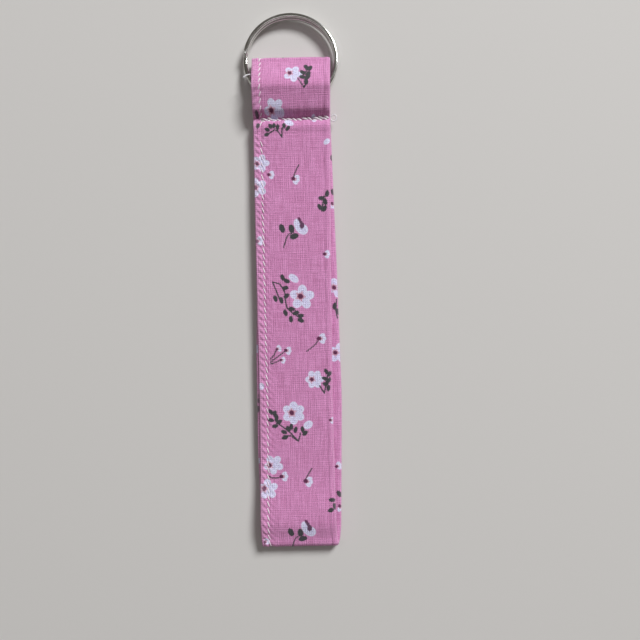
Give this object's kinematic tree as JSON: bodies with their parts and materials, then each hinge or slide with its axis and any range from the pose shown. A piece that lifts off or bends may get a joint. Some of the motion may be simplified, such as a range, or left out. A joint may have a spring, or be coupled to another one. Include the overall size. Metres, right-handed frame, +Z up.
{
  "type": "wristlet keychain",
  "caption": "Flat printed-cotton wrist loop that opens out, sewn across below a tab that holds a turning split key ring.",
  "frame": {"origin": "middle of the object's footprint, on the surface that the strap lies on", "axes": "+Y along the strap from the bottom fold to the split ring, +X across the strap, +Z up through its thickness"},
  "size_m": [0.03, 0.1688, 0.0062],
  "materials": {
    "printed_cotton": "dusty pink plain-weave cotton with a small floral print",
    "interfacing": "matt off-white bonded interfacing",
    "sewing_thread": "pale pink-white polyester sewing thread",
    "clear_thread": "loose pale thread with a slight shine",
    "split_ring": "polished nickel-plated steel wire"
  },
  "bodies": {
    "back_middle": {"back_middle_cotton": "printed_cotton", "back_middle_interfacing": "interfacing", "back_middle_needle_thread": "sewing_thread", "back_middle_bobbin_thread": "sewing_thread"},
    "back_upper": {"back_upper_cotton": "printed_cotton", "back_upper_interfacing": "interfacing", "back_upper_needle_thread": "sewing_thread", "back_upper_bobbin_thread": "sewing_thread"},
    "loop_head": {"head_front_cotton": "printed_cotton", "head_front_interfacing": "interfacing", "head_front_needle_thread": "sewing_thread", "head_front_bobbin_thread": "sewing_thread", "head_back_cotton": "printed_cotton", "head_back_interfacing": "interfacing", "head_back_needle_thread": "sewing_thread", "head_back_bobbin_thread": "sewing_thread"},
    "tab": {"tab_cotton": "printed_cotton", "tab_interfacing": "interfacing", "tab_needle_thread": "sewing_thread", "tab_bobbin_thread": "sewing_thread", "seam_needle_thread": "sewing_thread", "seam_bobbin_thread": "sewing_thread", "seam_thread_loop": "clear_thread", "loose_thread_tail": "clear_thread"},
    "ring": {"split_ring": "split_ring"},
    "back_lower": {"back_lower_cotton": "printed_cotton", "back_lower_interfacing": "interfacing", "back_lower_needle_thread": "sewing_thread", "back_lower_bobbin_thread": "sewing_thread"},
    "bottom_fold": {"bottom_fold_cotton": "printed_cotton", "bottom_fold_interfacing": "interfacing", "bottom_fold_needle_thread": "sewing_thread", "bottom_fold_bobbin_thread": "sewing_thread"},
    "front_lower": {"front_lower_cotton": "printed_cotton", "front_lower_interfacing": "interfacing", "front_lower_needle_thread": "sewing_thread", "front_lower_bobbin_thread": "sewing_thread"},
    "front_middle": {"front_middle_cotton": "printed_cotton", "front_middle_interfacing": "interfacing", "front_middle_needle_thread": "sewing_thread", "front_middle_bobbin_thread": "sewing_thread"},
    "front_upper": {"front_upper_cotton": "printed_cotton", "front_upper_interfacing": "interfacing", "front_upper_needle_thread": "sewing_thread", "front_upper_bobbin_thread": "sewing_thread"}
  },
  "joints": [
    {"name": "loop_open", "type": "hinge", "parent": "back_middle", "child": "back_upper", "pos_m": [0, 0.00407, 0.0008], "axis": [1, 0, 0], "range_deg": [0, 60]},
    {"name": "head_level", "type": "hinge", "parent": "back_upper", "child": "loop_head", "pos_m": [0, 0.04607, 0.0008], "axis": [1, 0, 0], "range_deg": [-60, 0]},
    {"name": "back_lower_lift", "type": "hinge", "parent": "back_middle", "child": "back_lower", "pos_m": [0, -0.03793, 0.0008], "axis": [1, 0, 0], "range_deg": [-60, 0]},
    {"name": "bottom_fold_level", "type": "hinge", "parent": "back_lower", "child": "bottom_fold", "pos_m": [0, -0.07993, 0.0008], "axis": [1, 0, 0], "range_deg": [0, 60]},
    {"name": "front_lower_lift", "type": "hinge", "parent": "bottom_fold", "child": "front_lower", "pos_m": [0, -0.07993, 0.0027], "axis": [1, 0, 0], "range_deg": [0, 60]},
    {"name": "front_middle_level", "type": "hinge", "parent": "front_lower", "child": "front_middle", "pos_m": [0, -0.03793, 0.0027], "axis": [1, 0, 0], "range_deg": [-60, 0]},
    {"name": "front_upper_drop", "type": "hinge", "parent": "front_middle", "child": "front_upper", "pos_m": [0, 0.00407, 0.0027], "axis": [1, 0, 0], "range_deg": [-60, 0]},
    {"name": "tab_bend", "type": "hinge", "parent": "loop_head", "child": "tab", "pos_m": [0, 0.04987, 0.0015], "axis": [1, 0, 0], "range_deg": [-70, 70]},
    {"name": "ring_spin", "type": "hinge", "parent": "tab", "child": "ring", "pos_m": [0, 0.06937, 0.00231], "axis": [0, 0.0576, 0.9983], "continuous": true}
  ],
  "couplings": [
    {"joint": "head_level", "follows": "loop_open", "ratio": -1},
    {"joint": "back_lower_lift", "follows": "loop_open", "ratio": -1},
    {"joint": "bottom_fold_level", "follows": "loop_open", "ratio": 1},
    {"joint": "front_lower_lift", "follows": "loop_open", "ratio": 1},
    {"joint": "front_middle_level", "follows": "loop_open", "ratio": -1},
    {"joint": "front_upper_drop", "follows": "loop_open", "ratio": -1}
  ]
}
